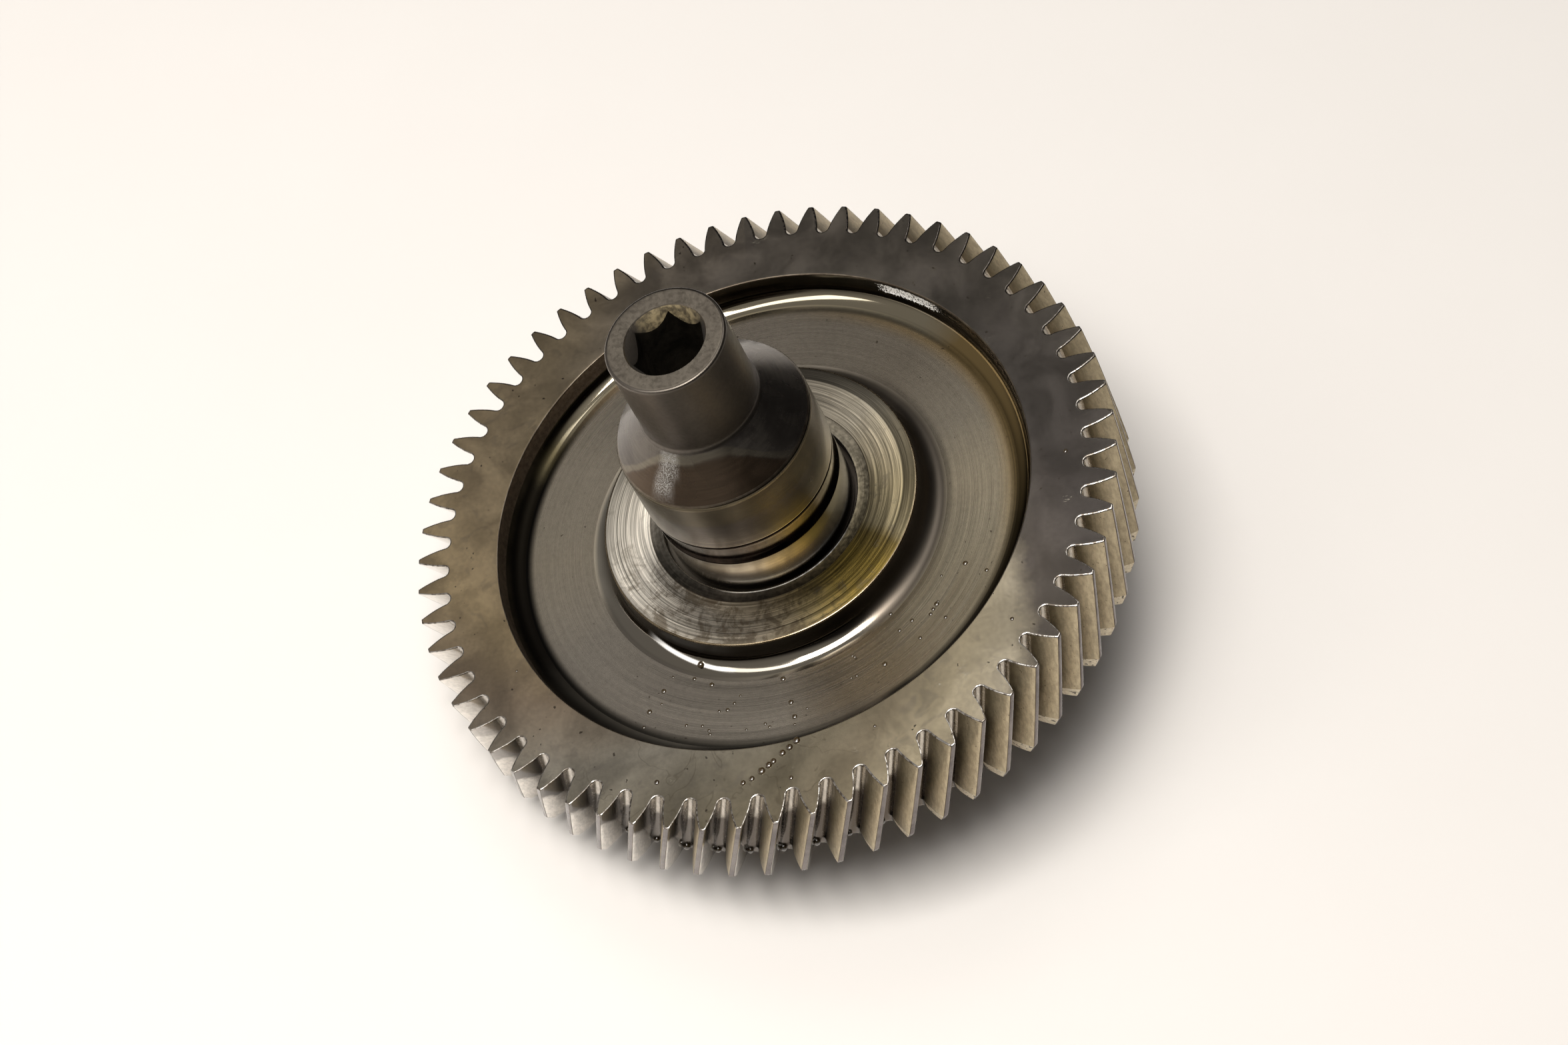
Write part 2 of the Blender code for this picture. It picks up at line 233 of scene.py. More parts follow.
class Surface(Tree):
    """A Principled material with the part's own coordinates in millimetres."""

    def __init__(self, name, roughness, metallic=1.0, coat=0.0, coat_roughness=0.06, anisotropy=0.0):
        self.material = bpy.data.materials.new(name)
        self.material.use_nodes = True
        super().__init__(self.material.node_tree)
        self.shader = self.tree.nodes["Principled BSDF"]
        for key, value in (("Metallic", metallic), ("Roughness", roughness), ("Coat Weight", coat),
                           ("Coat Roughness", coat_roughness), ("Anisotropic", anisotropy)):
            self.shader.inputs[key].default_value = value
        if anisotropy:
            tangent = self.node("ShaderNodeTangent", direction_type="RADIAL", axis="Z")
            self.put(self.shader.inputs["Tangent"], tangent.outputs[0])
        place = self.node("ShaderNodeTexCoord").outputs["Object"]
        self.place = self.vector("MULTIPLY", place, (1 / MM, 1 / MM, 1 / MM))
        self.x, self.y, self.z = self.node("ShaderNodeSeparateXYZ", (self.place,)).outputs
        flat = self.combine(self.x, self.y, 0.0)
        self.radius = self.vector("LENGTH", flat)
        self.height = self.math("SUBTRACT", self.z, FRONT_Z)
        self.around = self.vector("NORMALIZE", flat)

    def towards(self, azimuth_deg):
        """1 at one azimuth of the part, 0 at right angles to it, -1 opposite."""
        a = math.radians(azimuth_deg)
        return self.vector("DOT_PRODUCT", self.around, (math.cos(a), math.sin(a), 0.0))

    def facing(self, azimuth_deg, half_width_deg, soft_deg=20.0):
        """1 near one azimuth of the part, falling to 0 beyond the half width."""
        cosine = self.towards(azimuth_deg)
        inner = math.cos(math.radians(max(0.0, half_width_deg - soft_deg / 2)))
        outer = math.cos(math.radians(min(180.0, half_width_deg + soft_deg / 2)))
        return self.ramp(cosine, outer, inner)

    def about_axis(self, stops, waver=0.0, shear=0.0, level=0.0):
        """Colours round the axis: stops of (degrees from -X, positive towards -Y; colour).

        waver moves the borders by a noise, in degrees; shear by degrees per mm beyond the level radius.
        """
        angle = self.math("ARCTAN2", self.times(self.y, -1.0), self.times(self.x, -1.0))
        share = self.math("MULTIPLY_ADD", angle, 0.5 / math.pi, 0.5)
        if waver:
            cloud = self.math("SUBTRACT", self.noise(self.place, 0.12, 4.0, 0.6), 0.5)
            share = self.math("MULTIPLY_ADD", cloud, waver / 180.0, share)
        if shear:
            out = self.math("SUBTRACT", self.radius, level)
            share = self.math("MULTIPLY_ADD", out, shear / 360.0, share)
        stops = (*stops, (180, stops[0][1]))
        made = self.node("ShaderNodeValToRGB", (share,))
        ramp = made.color_ramp
        while len(ramp.elements) < len(stops):
            ramp.elements.new(1.0)
        for element, (degrees, tone) in zip(ramp.elements, stops):
            element.position = 0.5 + degrees / 360.0
            element.color = colour(tone)
        return made.outputs[0]

    def cloud(self, scale, detail=3.0, roughness=0.55, distortion=0.0):
        return self.noise(self.place, scale, detail, roughness, distortion)

    def waver(self, value, cloud, amount):
        """The value moved up and down by a cloud, by the amount from end to end."""
        return self.math("MULTIPLY_ADD", self.math("SUBTRACT", cloud, 0.5), amount, value)

    def tone(self, base, factor):
        """The colour made lighter or darker by a factor."""
        scaled = self.vector("SCALE", base)
        self.put(scaled.node.inputs["Scale"], factor)
        return scaled

    def line(self, value, at, width):
        """1 close to one place, falling to 0 at the width on either side."""
        away = self.math("ABSOLUTE", self.math("SUBTRACT", value, at))
        return self.ramp(away, width, 0.35 * width)

    def streaks(self, per_mm, length=3.0, detail=2.0, along="radius"):
        """Turning marks: fine across, long round the axis."""
        across = self.radius if along == "radius" else self.height
        stretched = self.vector("SCALE", self.around)
        stretched.node.inputs["Scale"].default_value = length
        line = self.combine(0.0, 0.0, self.times(across, per_mm))
        return self.noise(self.vector("ADD", stretched, line), 1.0, detail, 0.6)

    def bump(self, height, distance, strength):
        return self.node("ShaderNodeBump", {"Height": height, "Distance": distance * MM,
                                            "Strength": strength}).outputs[0]

    def finish(self, base, roughness=None, normal=None):
        self.put(self.shader.inputs["Base Color"], base)
        if roughness is not None:
            self.put(self.shader.inputs["Roughness"], roughness)
        if normal is not None:
            self.put(self.shader.inputs["Normal"], normal)
            if self.shader.inputs["Coat Weight"].default_value:
                self.put(self.shader.inputs["Coat Normal"], normal)
        return self.material


# ---- materials

def rim_face():
    s = Surface("rim_face_steel", 0.24, coat=0.25, coat_roughness=0.12)
    base = s.about_axis(RIM_TONES, 5.0, 1.25, 65.5)
    cloud = s.cloud(0.07, 4.0, 0.55, 0.6)
    fine = s.cloud(0.9, 4.0, 0.6)
    base = s.tone(base, s.ramp(cloud, 0.32, 0.68, 0.86, 1.13))
    base = s.tone(base, s.ramp(fine, 0.3, 0.7, 1.05, 0.93))
    stain = s.ramp(s.cloud(0.13, 3.0, 0.5, 1.5), 0.56, 0.68, 0.0, 0.2)
    base = s.mix(stain, base, (0.17, 0.15, 0.145))
    low = s.facing(172.0, 24.0, 24.0)
    tide_and_painted_reflection = s.line(s.cloud(0.09, 2.0, 0.5, 1.0), 0.5, 0.012)
    base = s.mix(s.times(tide_and_painted_reflection, s.times(low, 0.28)), base, (0.13, 0.10, 0.06))
    scuffed = s.ramp(s.cloud(0.16, 2.0, 0.5), 0.68, 0.74)
    scuff = s.ramp(s.noise(s.vector("MULTIPLY", s.place, (3.0, 0.9, 1.0)), 1.0, 4.0, 0.7), 0.56, 0.62)
    base = s.mix(s.times(scuffed, s.times(scuff, 0.7)), base, (0.74, 0.69, 0.58))
    specks = s.ramp(s.cloud(0.8, 1.0, 0.4), 0.765, 0.785)
    base = s.mix(s.times(specks, 0.8), base, (0.06, 0.045, 0.03))
    return s.finish(base, s.ramp(cloud, 0.3, 0.7, 0.19, 0.27), s.bump(fine, 0.003, 0.4))


def floor_tone(s):
    """The web's colour, with the oil that lies at the foot of the recess's wall and of the hub; the tones
    there and the shadow beside the hub are painted light and shade.
    """
    base = s.about_axis(WEB_TONES, 5.0)
    amber = s.times(s.ramp(s.radius, 50.5, 55.6), s.facing(-62.0, 40.0, 40.0))
    base = s.mix(s.times(amber, 0.8), base, (0.33, 0.22, 0.085))
    base = s.mix(s.ramp(s.radius, 53.6, 55.5), base, s.about_axis(WALL_FOOT_TONES, 4.0))
    # A painted shadow beside the hub.
    shadow = s.times(s.ramp(s.radius, 42.5, 39.2), s.facing(-95.0, 55.0, 40.0))
    base = s.mix(s.times(shadow, 0.8), base, (0.085, 0.072, 0.058))
    return s.mix(s.ramp(s.radius, 39.9, 38.9), base, s.about_axis(HUB_FOOT_TONES, 4.0))


def web_face():
    s = Surface("web_turned_steel", 0.26, coat=0.2, coat_roughness=0.1, anisotropy=0.3)
    marks = s.streaks(3.2, 0.9, 4.0)
    broad = s.streaks(0.45, 0.5, 3.0)
    fine = s.cloud(1.1, 4.0, 0.6)
    base = floor_tone(s)
    # Turning marks show stronger on one side of the web: painted light.
    strong = s.math("MULTIPLY_ADD", s.facing(-150.0, 75.0, 60.0), 0.9, 0.1)
    turning = s.plus(s.ramp(marks, 0.32, 0.68, 0.20, -0.24), s.ramp(broad, 0.3, 0.7, -0.18, 0.16))
    base = s.tone(base, s.math("MULTIPLY_ADD", turning, strong, 1.0))
    streaky = s.times(s.facing(-143.0, 24.0, 26.0), s.ramp(broad, 0.42, 0.6))
    base = s.mix(s.times(streaky, 0.5), base, (0.20, 0.155, 0.095))
    specks = s.ramp(s.cloud(0.9, 1.0, 0.4), 0.75, 0.775)
    base = s.mix(s.times(specks, 0.75), base, (0.06, 0.045, 0.03))
    base = s.tone(base, s.ramp(fine, 0.35, 0.75, 1.04, 0.90))
    wet_and_painted_highlight = s.ramp(s.radius, 53.5, 55.4, 0.0, -0.16)
    return s.finish(base, s.plus(s.ramp(marks, 0.2, 0.8, 0.24, 0.30), wet_and_painted_highlight), s.bump(marks, 0.0008, 0.4))


def recess_wall():
    """Wall and fillets of the recess, wet with dark oil, with tones that hold painted shade; a pale bead of
    oil at the hub's foot and a wet patch high on the wall are painted highlights.
    """
    s = Surface("oil_wet_recess", 0.12)
    cloud = s.cloud(0.12, 4.0, 0.6)
    fine = s.cloud(0.9, 4.0, 0.7)
    dark = s.mix(s.ramp(cloud, 0.35, 0.7), (0.022, 0.019, 0.013), (0.045, 0.037, 0.026))
    wall = s.times(s.ramp(s.height, -4.4, -4.0), s.facing(110.0, 95.0, 50.0))
    brown = s.mix(s.ramp(fine, 0.35, 0.65), (0.10, 0.077, 0.057), (0.16, 0.125, 0.094))
    base = s.mix(wall, dark, brown)
    hub = s.ramp(s.radius, 50.0, 44.0)
    base = s.mix(hub, base, s.about_axis(HUB_SIDE_TONES, 4.0))
    low = s.ramp(s.height, 2.2 - RECESS_DEPTH, 0.9 - RECESS_DEPTH)
    base = s.mix(low, base, floor_tone(s))
    # A pale speckled patch high on the wall, on one side: a painted highlight.
    wet_and_painted_highlight = s.times(s.facing(-37.5, 9.0, 10.0), s.ramp(s.radius, RECESS_R - 1.2, RECESS_R - 0.6))
    wet_and_painted_highlight = s.times(wet_and_painted_highlight, s.line(s.height, -2.3, 2.8))
    wet_and_painted_highlight = s.ramp(s.plus(wet_and_painted_highlight, s.cloud(2.4, 2.0, 0.6)), 1.34, 1.50)
    # A pale arc at the hub's foot, standing for a bead of oil: a painted highlight that carries on the
    # reflected one.
    painted_bead_highlight = s.line(s.math("MULTIPLY_ADD", s.towards(236.0), -2.9, s.radius), 36.75, 0.6)
    painted_bead_highlight = s.times(painted_bead_highlight, s.facing(148.5, 13.0, 12.0))
    wet_and_painted_highlight = s.math("MAXIMUM", wet_and_painted_highlight, s.times(painted_bead_highlight, 0.85))
    base = s.mix(wet_and_painted_highlight, base, (0.97, 0.96, 0.94))
    s.put(s.shader.inputs["Metallic"], s.rest(wet_and_painted_highlight))
    rough = s.plus(s.ramp(cloud, 0.3, 0.8, 0.07, 0.12), s.times(wall, 0.35))
    matt = s.times(hub, s.rest(s.facing(162.0, 50.0, 24.0)))
    rough = s.plus(rough, s.times(matt, 0.28))
    thick = s.times(s.ramp(s.radius, 50.0, 53.0), s.facing(112.0, 52.0, 24.0))
    rough = s.plus(rough, s.times(s.times(thick, s.rest(wall)), 0.35))
    return s.finish(base, rough, s.bump(fine, 0.002, 0.2))


def thrust_face():
    s = Surface("worn_thrust_face", 0.22, anisotropy=0.4, coat=0.1, coat_roughness=0.15)
    fine = s.streaks(4.5, 1.2, 4.0)
    broad = s.streaks(0.8, 0.8, 3.0)
    cloud = s.cloud(0.22, 5.0, 0.65, 0.8)
    base = s.about_axis(THRUST_TONES, 7.0)
    base = s.tone(base, s.ramp(fine, 0.32, 0.68, 0.66, 1.25))
    base = s.tone(base, s.ramp(broad, 0.32, 0.66, 0.76, 1.16))
    grain = s.cloud(0.9, 4.0, 0.6)
    smear = s.plus(s.times(cloud, 0.75), s.times(grain, 0.25))
    smear = s.times(s.ramp(smear, 0.44, 0.60), s.facing(160.0, 48.0, 50.0))
    base = s.mix(s.times(smear, 0.72), base, (0.17, 0.13, 0.085))
    patch = s.times(s.ramp(cloud, 0.56, 0.66), s.ramp(fine, 0.4, 0.55))
    base = s.mix(s.times(patch, 0.5), base, (0.30, 0.26, 0.20))
    base = s.tone(base, s.rest(s.times(s.line(s.radius, 32.3, 0.16), 0.55)))
    outer = s.times(s.ramp(s.radius, 31.9, 32.4), s.facing(-48.0, 62.0, 40.0))
    base = s.tone(base, s.rest(s.times(outer, 0.68)))
    return s.finish(base, s.ramp(fine, 0.2, 0.8, 0.26, 0.42), s.bump(fine, 0.004, 0.6))


def inner_ring():
    """The unworn ring inside the thrust face. Its tones round the axis hold painted light and shade, and a
    pale line at the counterbore's edge is a painted highlight.
    """
    s = Surface("unworn_hub_ring", 0.35, coat=0.2, coat_roughness=0.2)
    fine = s.cloud(0.9, 5.0, 0.65)
    marks = s.streaks(3.0, 1.5, 3.0)
    base = s.tone(s.about_axis(INNER_TONES, 5.0), s.ramp(marks, 0.3, 0.7, 0.8, 1.2))
    # A pale line at the counterbore's edge on one side: a painted highlight.
    rim = s.times(s.line(s.radius, COUNTERBORE_R + 0.25, 0.3), s.facing(-162.0, 36.0, 24.0))
    base = s.mix(s.times(rim, 0.9), base, (0.92, 0.90, 0.86))
    base = s.tone(base, s.ramp(fine, 0.3, 0.7, 0.7, 1.1))
    return s.finish(base, s.ramp(fine, 0.3, 0.8, 0.28, 0.42), s.bump(fine, 0.02, 0.3))


def flank(name, light, dark, pit, rough, shade=None, metallic=1.0):
    """Tooth flank: the colour deepens towards the root."""
    s = Surface(name, rough, metallic, coat=0.1, coat_roughness=0.05)
    cloud = s.cloud(0.25, 4.0, 0.6)
    fine = s.cloud(2.4, 3.0, 0.6)
    towards_tip = s.waver(s.radius, cloud, 1.2)
    base = s.mix(s.ramp(towards_tip, ROOT_R + 1.2, TIP_R - 0.2), dark, light)
    base = s.tone(base, s.ramp(fine, 0.35, 0.75, 1.03, 0.91))
    drawn = s.noise(s.vector("MULTIPLY", s.place, (1.0, 1.0, 0.12)), 1.3, 3.0, 0.6)
    base = s.tone(base, s.ramp(drawn, 0.35, 0.65, 0.84, 1.14))
    if shade is not None:
        base = s.mix(shade(s, cloud), base, (0.085, 0.068, 0.052))
    pits = s.ramp(s.cloud(1.5, 2.0, 0.45), 0.72, 0.745)
    base = s.mix(s.times(pits, pit), base, (0.05, 0.035, 0.02))
    normal = s.bump(s.cloud(0.8, 3.0, 0.5), 0.008, 0.25)
    return s.finish(base, s.ramp(fine, 0.3, 0.8, rough - 0.04, rough + 0.06), normal)


def upper_flank_darkening(s, cloud):
    """Darker upper part of the counter-clockwise flanks on one side of the wheel, deeper towards the root."""
    lowered = s.math("MULTIPLY_ADD", s.math("SUBTRACT", TIP_R, s.radius), 1.1, s.height)
    lowered = s.waver(lowered, cloud, 5.0)
    return s.times(s.ramp(lowered, -7.2, -5.0), s.facing(175.0, 52.0, 30.0))


def lower_oil_and_painted_reflection(s, cloud):
    """Dark oil that has run down the tooth spaces to the rear, and a painted reflection of the shadow under
    the wheel, on one side of it.
    """
    lowered = s.waver(s.height, cloud, 4.0)
    return s.times(s.ramp(lowered, -7.0, -9.5), s.facing(-170.0, 55.0, 30.0))


def end_relief():
    """The thinned rear end of a tooth: pale tan, roughly finished and pitted."""
    s = Surface("end_relief", 0.45, metallic=0.3)
    fine = s.cloud(1.8, 4.0, 0.65)
    base = s.mix(s.ramp(fine, 0.35, 0.65), (0.50, 0.42, 0.29), (0.68, 0.60, 0.45))
    pits = s.ramp(s.cloud(1.1, 2.0, 0.5), 0.60, 0.64)
    base = s.mix(s.times(pits, 0.85), base, (0.055, 0.04, 0.025))
    return s.finish(base, s.ramp(fine, 0.25, 0.8, 0.38, 0.52), s.bump(fine, 0.03, 0.4))


def plain_steel(name, light, dark, rough, coat=0.1, grain=0.9, bump=0.02, metallic=1.0):
    """Oiled steel with soft clouding and a fine grain."""
    s = Surface(name, rough, metallic, coat=coat, coat_roughness=0.1)
    cloud = s.cloud(0.14, 4.0, 0.6, 0.5)
    fine = s.cloud(grain, 4.0, 0.6)
    base = s.mix(s.ramp(cloud, 0.35, 0.68), dark, light)
    base = s.mix(s.ramp(fine, 0.45, 0.8, 0.0, 0.4), base, [v * 0.45 for v in dark])
    return s.finish(base, s.ramp(fine, 0.25, 0.8, rough - 0.06, rough + 0.1), s.bump(fine, bump, 0.4))


def spigot():
    """Dull oiled spigot, a little lighter on one side, which is painted light."""
    s = Surface("oiled_spigot", 0.36, coat=0.1, coat_roughness=0.15)
    cloud = s.cloud(0.12, 3.0, 0.5)
    fine = s.cloud(1.2, 4.0, 0.6)
    base = s.mix(s.ramp(cloud, 0.3, 0.7), (0.050, 0.043, 0.035), (0.062, 0.053, 0.044))
    # Lighter on one side: painted light.
    base = s.mix(s.facing(100.0, 62.0, 70.0), base, (0.128, 0.112, 0.097))
    base = s.mix(s.ramp(s.height, SPIGOT_TOP - 1.1, SPIGOT_TOP - 0.2, 0.0, 0.2), base, (0.20, 0.175, 0.145))
    base = s.tone(base, s.ramp(fine, 0.35, 0.7, 1.06, 0.9))
    return s.finish(base, s.ramp(fine, 0.25, 0.8, 0.33, 0.40), s.bump(fine, 0.003, 0.4))


def shoulder_cone():
    """Oily conical shoulder: a brown lower zone below a pale line, which are a painted reflection, and a wet,
    speckled stripe, which is a painted highlight.
    """
    s = Surface("oily_shoulder", 0.26, coat=0.3, coat_roughness=0.12)
    marks = s.streaks(2.2, 1.2, 3.0, along="height")
    cloud = s.cloud(0.12, 4.0, 0.6, 0.8)
    fine = s.cloud(1.6, 4.0, 0.7)
    base = s.mix(s.ramp(cloud, 0.36, 0.66), (0.115, 0.100, 0.088), (0.155, 0.138, 0.118))
    # A brown lower zone with a pale line above it, higher on one side: a painted reflection.
    tide_and_painted_reflection = s.math("SUBTRACT", s.height, s.ramp(s.towards(172.0), 0.36, 0.95, 31.2, 39.3))
    tide_and_painted_reflection = s.waver(tide_and_painted_reflection, cloud, 1.5)
    base = s.mix(s.ramp(tide_and_painted_reflection, 0.6, -1.2), base, (0.095, 0.066, 0.043))
    base = s.mix(s.times(s.line(tide_and_painted_reflection, 0.3, 1.0), 0.6), base, (0.24, 0.21, 0.155))
    base = s.tone(base, s.ramp(marks, 0.3, 0.7, 1.08, 0.88))
    # A speckled stripe on one side: a painted highlight.
    upper = s.times(s.facing(149.5, 6.0, 11.0), s.ramp(s.height, 35.0, 37.5))
    lower = s.times(s.facing(146.5, 5.0, 10.0), s.ramp(s.height, 37.5, 35.0))
    wet_and_painted_highlight = s.times(s.plus(upper, lower), s.ramp(s.height, 32.2, 34.5, 0.3, 1.0))
    wet_and_painted_highlight = s.times(wet_and_painted_highlight, s.ramp(s.height, 41.6, 39.6))
    speckle = s.ramp(s.cloud(3.8, 3.0, 0.7), 0.38, 0.62)
    wet_and_painted_highlight = s.times(wet_and_painted_highlight, s.math("MULTIPLY_ADD", speckle, 0.62, 0.08))
    base = s.mix(wet_and_painted_highlight, base, (0.44, 0.43, 0.41))
    s.put(s.shader.inputs["Metallic"], s.rest(s.times(wet_and_painted_highlight, 0.7)))
    return s.finish(base, s.ramp(cloud, 0.25, 0.8, 0.24, 0.30), s.bump(fine, 0.0006, 0.3))


def ground_journal():
    """Bearing journal: an olive run-in band next to the shoulder, greyer below it."""
    s = Surface("ground_journal", 0.22, coat=0.2, coat_roughness=0.1)
    marks = s.streaks(2.4, 1.0, 3.0, along="height")
    cloud = s.cloud(0.11, 4.0, 0.6, 0.8)
    level = s.waver(s.height, cloud, 0.8)
    base = s.mix(s.ramp(level, 24.2, 25.2), (0.115, 0.098, 0.086), (0.125, 0.104, 0.066))
    base = s.mix(s.times(s.line(s.height, 31.0, 0.45), 0.8), base, (0.34, 0.29, 0.20))
    for level_z in (18.4, 17.1):
        base = s.mix(s.times(s.line(s.height, level_z, 0.12), 0.7), base, (0.24, 0.20, 0.15))
    base = s.tone(base, s.ramp(marks, 0.3, 0.7, 1.12, 0.80))
    base = s.tone(base, s.ramp(cloud, 0.35, 0.65, 0.62, 0.80))
    base = s.tone(base, s.ramp(s.height, 16.2, 16.8, 0.3, 1.0))
    # Darker on one side, low on the journal: painted shade.
    dim = s.times(s.facing(-128.0, 46.0, 44.0), s.ramp(s.height, 28.0, 20.0))
    base = s.tone(base, s.rest(s.times(dim, 0.58)))
    return s.finish(base, s.ramp(cloud, 0.25, 0.8, 0.21, 0.29), s.bump(marks, 0.0003, 0.5))


def bright_collar():
    """Collar lighter on one side and near black on the other, which is painted light and shade, with fine
    marks round it.
    """
    s = Surface("bright_collar", 0.24, coat=0.1, coat_roughness=0.1)
    marks = s.streaks(2.6, 1.0, 3.0, along="height")
    fine = s.cloud(1.2, 4.0, 0.65)
    base = s.tone(s.about_axis(COLLAR_TONES, 12.0), s.ramp(marks, 0.3, 0.7, 1.15, 0.7))
    base = s.tone(base, s.ramp(fine, 0.35, 0.7, 1.04, 0.92))
    base = s.tone(base, s.ramp(s.height, 9.5, 6.5, 0.45, 1.0))
    return s.finish(base, s.ramp(marks, 0.25, 0.8, 0.22, 0.28), s.bump(marks, 0.0003, 0.5))


def worn_edge():
    """Small rounded edges: rubbed bright in patches, and darker on one side of the wheel, which is painted
    shade.
    """
    s = Surface("worn_edge", 0.2)
    patch = s.ramp(s.cloud(1.1, 3.0, 0.6), 0.42, 0.56)
    base = s.mix(patch, (0.13, 0.11, 0.09), (0.52, 0.49, 0.45))
    # Darker on one side of the wheel: painted shade.
    base = s.mix(s.times(s.facing(-12.0, 62.0, 40.0), 0.9), base, (0.07, 0.06, 0.052))
    return s.finish(base, s.ramp(patch, 0.0, 1.0, 0.34, 0.18))


def grime():
    s = Surface("socket_grime", 0.6, metallic=0.0, coat=0.2, coat_roughness=0.3)
    fine = s.cloud(0.6, 5.0, 0.65)
    base = s.mix(s.ramp(fine, 0.35, 0.65), (0.045, 0.034, 0.018), (0.21, 0.165, 0.09))
    # Near black except on one side of the mouth: painted shade over the grime.
    painted_shade = s.rest(s.facing(-8.0, 46.0, 40.0))
    base = s.mix(painted_shade, base, (0.018, 0.014, 0.010))
    return s.finish(base, None, s.bump(fine, 0.15, 0.6))


def oil():
    s = Surface("dark_oil", 0.05, metallic=0.0, coat=1.0, coat_roughness=0.02)
    cloud = s.cloud(0.3, 3.0)
    base = s.mix(cloud, (0.012, 0.008, 0.004), (0.05, 0.032, 0.012))
    return s.finish(base, s.ramp(cloud, 0.3, 0.7, 0.03, 0.08))


def make_materials():
    return {
        "rim": rim_face(), "web": web_face(), "recess": recess_wall(), "thrust": thrust_face(),
        "inner": inner_ring(),
        "flank_cw": flank("varnished_flank", (0.40, 0.33, 0.215), (0.085, 0.064, 0.035), 0.85, 0.36,
                          metallic=0.55),
        "flank_ccw": flank("polished_flank", (0.82, 0.77, 0.70), (0.56, 0.51, 0.44), 0.5, 0.12,
                           upper_flank_darkening),
        "root": flank("tooth_root", (0.60, 0.55, 0.48), (0.50, 0.46, 0.40), 0.2, 0.24, lower_oil_and_painted_reflection),
        "relief": end_relief(),
        "land": plain_steel("tooth_land", (0.22, 0.197, 0.185), (0.135, 0.118, 0.115), 0.22, 0.2, 2.0),
        "edge": worn_edge(),
        "dark_edge": plain_steel("dark_edge", (0.17, 0.14, 0.105), (0.08, 0.062, 0.045), 0.34, 0.1, 1.6),
        "tan_edge": plain_steel("hub_edge", (0.27, 0.215, 0.14), (0.15, 0.115, 0.07), 0.26, 0.1, 1.2),
        "spigot": spigot(),
        "spigot_end": plain_steel("spigot_end", (0.28, 0.245, 0.20), (0.23, 0.20, 0.163), 0.36, 0.05, 1.2,
                                  0.006),
        "cone": shoulder_cone(), "journal": ground_journal(),
        # The groove is near black for its oil and for painted shade.
        "groove": plain_steel("oil_and_painted_shade_groove", (0.026, 0.018, 0.013), (0.009, 0.007, 0.005), 0.2, 0.05, 0.8,
                              0.006),
        "collar": bright_collar(),
        "rear": plain_steel("rear_steel", (0.36, 0.33, 0.285), (0.22, 0.195, 0.16), 0.3, 0.2, 0.9),
        "grime": grime(), "oil": oil(),
        "key": plain_steel("key_steel", (0.42, 0.40, 0.37), (0.30, 0.28, 0.25), 0.32, 0.1, 1.0),
        "spring": plain_steel("phosphated_spring", (0.06, 0.058, 0.06), (0.03, 0.028, 0.03), 0.45, 0.2, 1.5,
                              metallic=0.6),
        "bore": plain_steel("black_socket", (0.05, 0.042, 0.032), (0.02, 0.017, 0.013), 0.5, 0.1, 0.7),
    }


# ---- mesh helpers

def add_object(name, data):
    obj = bpy.data.objects.new(name, data)
    bpy.context.scene.collection.objects.link(obj)
    return obj


class Shape:
    """Vertices and faces in millimetres, with a material name for each face."""

    def __init__(self):
        self.verts, self.faces, self.tags = [], [], []

    def ring(self, radius, z, count, turn=0.0):
        first = len(self.verts)
        for i in range(count):
            a = turn + 2.0 * math.pi * i / count
            self.verts.append((radius * math.cos(a), radius * math.sin(a), z))
        return list(range(first, first + count))

    def face(self, corners, tag):
        self.faces.append(corners)
        self.tags.append(tag)

    def bridge(self, upper, lower, tag):
        """Quads between two closed loops; tag is one name or a name for each place round them."""
        count = len(upper)
        for i in range(count):
            j = (i + 1) % count
            name = tag if isinstance(tag, str) else tag[i]
            self.face((upper[i], upper[j], lower[j], lower[i]), name)

    def turned(self, rows, count, turn=0.0):
        """Rings for rows of (radius, z, tag), each joined to the one before with its own tag."""
        loops = [self.ring(r, z, count, turn) for r, z, _ in rows]
        for (upper, lower), row in zip(zip(loops, loops[1:]), rows[1:]):
            self.bridge(upper, lower, row[2])
        return loops

    def build(self, name, materials, sharp_deg=40.0):
        """A smooth-shaded object in metres at the part's place."""
        mesh = bpy.data.meshes.new(name)
        mesh.from_pydata([(x * MM, y * MM, (z + FRONT_Z) * MM) for x, y, z in self.verts], [], self.faces)
        used = sorted(set(self.tags))
        for tag in used:
            mesh.materials.append(materials[tag])
        mesh.polygons.foreach_set("material_index", [used.index(tag) for tag in self.tags])
        bm = bmesh.new()
        bm.from_mesh(mesh)
        bmesh.ops.recalc_face_normals(bm, faces=bm.faces)
        bm.to_mesh(mesh)
        bm.free()
        mesh.shade_smooth()
        mesh.set_sharp_from_angle(angle=math.radians(sharp_deg))
        return add_object(name, mesh)


def rounded(corners, steps=4):
    """Rows (radius, z, tag) from corners (radius, z, size, tag, edge tag), each made a small curve."""
    rows = []
    last = len(corners) - 1
    for i, (r, z, size, tag, edge_tag) in enumerate(corners):
        if i in (0, last) or size == 0.0:
            rows.append((r, z, tag))
            continue
        here = Vector((r, z))
        before = Vector(corners[i - 1][:2]) - here
        after = Vector(corners[i + 1][:2]) - here
        if before.length > 2.5 * size:
            rows.append((*(here + before.normalized() * size * 1.6), tag))
        start = here + before.normalized() * size
        end = here + after.normalized() * size
        for k in range(steps + 1):
            t = k / steps
            p = start * (1 - t) ** 2 + here * 2 * t * (1 - t) + end * t ** 2
            rows.append((p.x, p.y, tag if k == 0 else edge_tag))
        if after.length > 2.5 * size:
            rows.append((*(here + after.normalized() * size * 1.6), corners[i + 1][3]))
    return rows


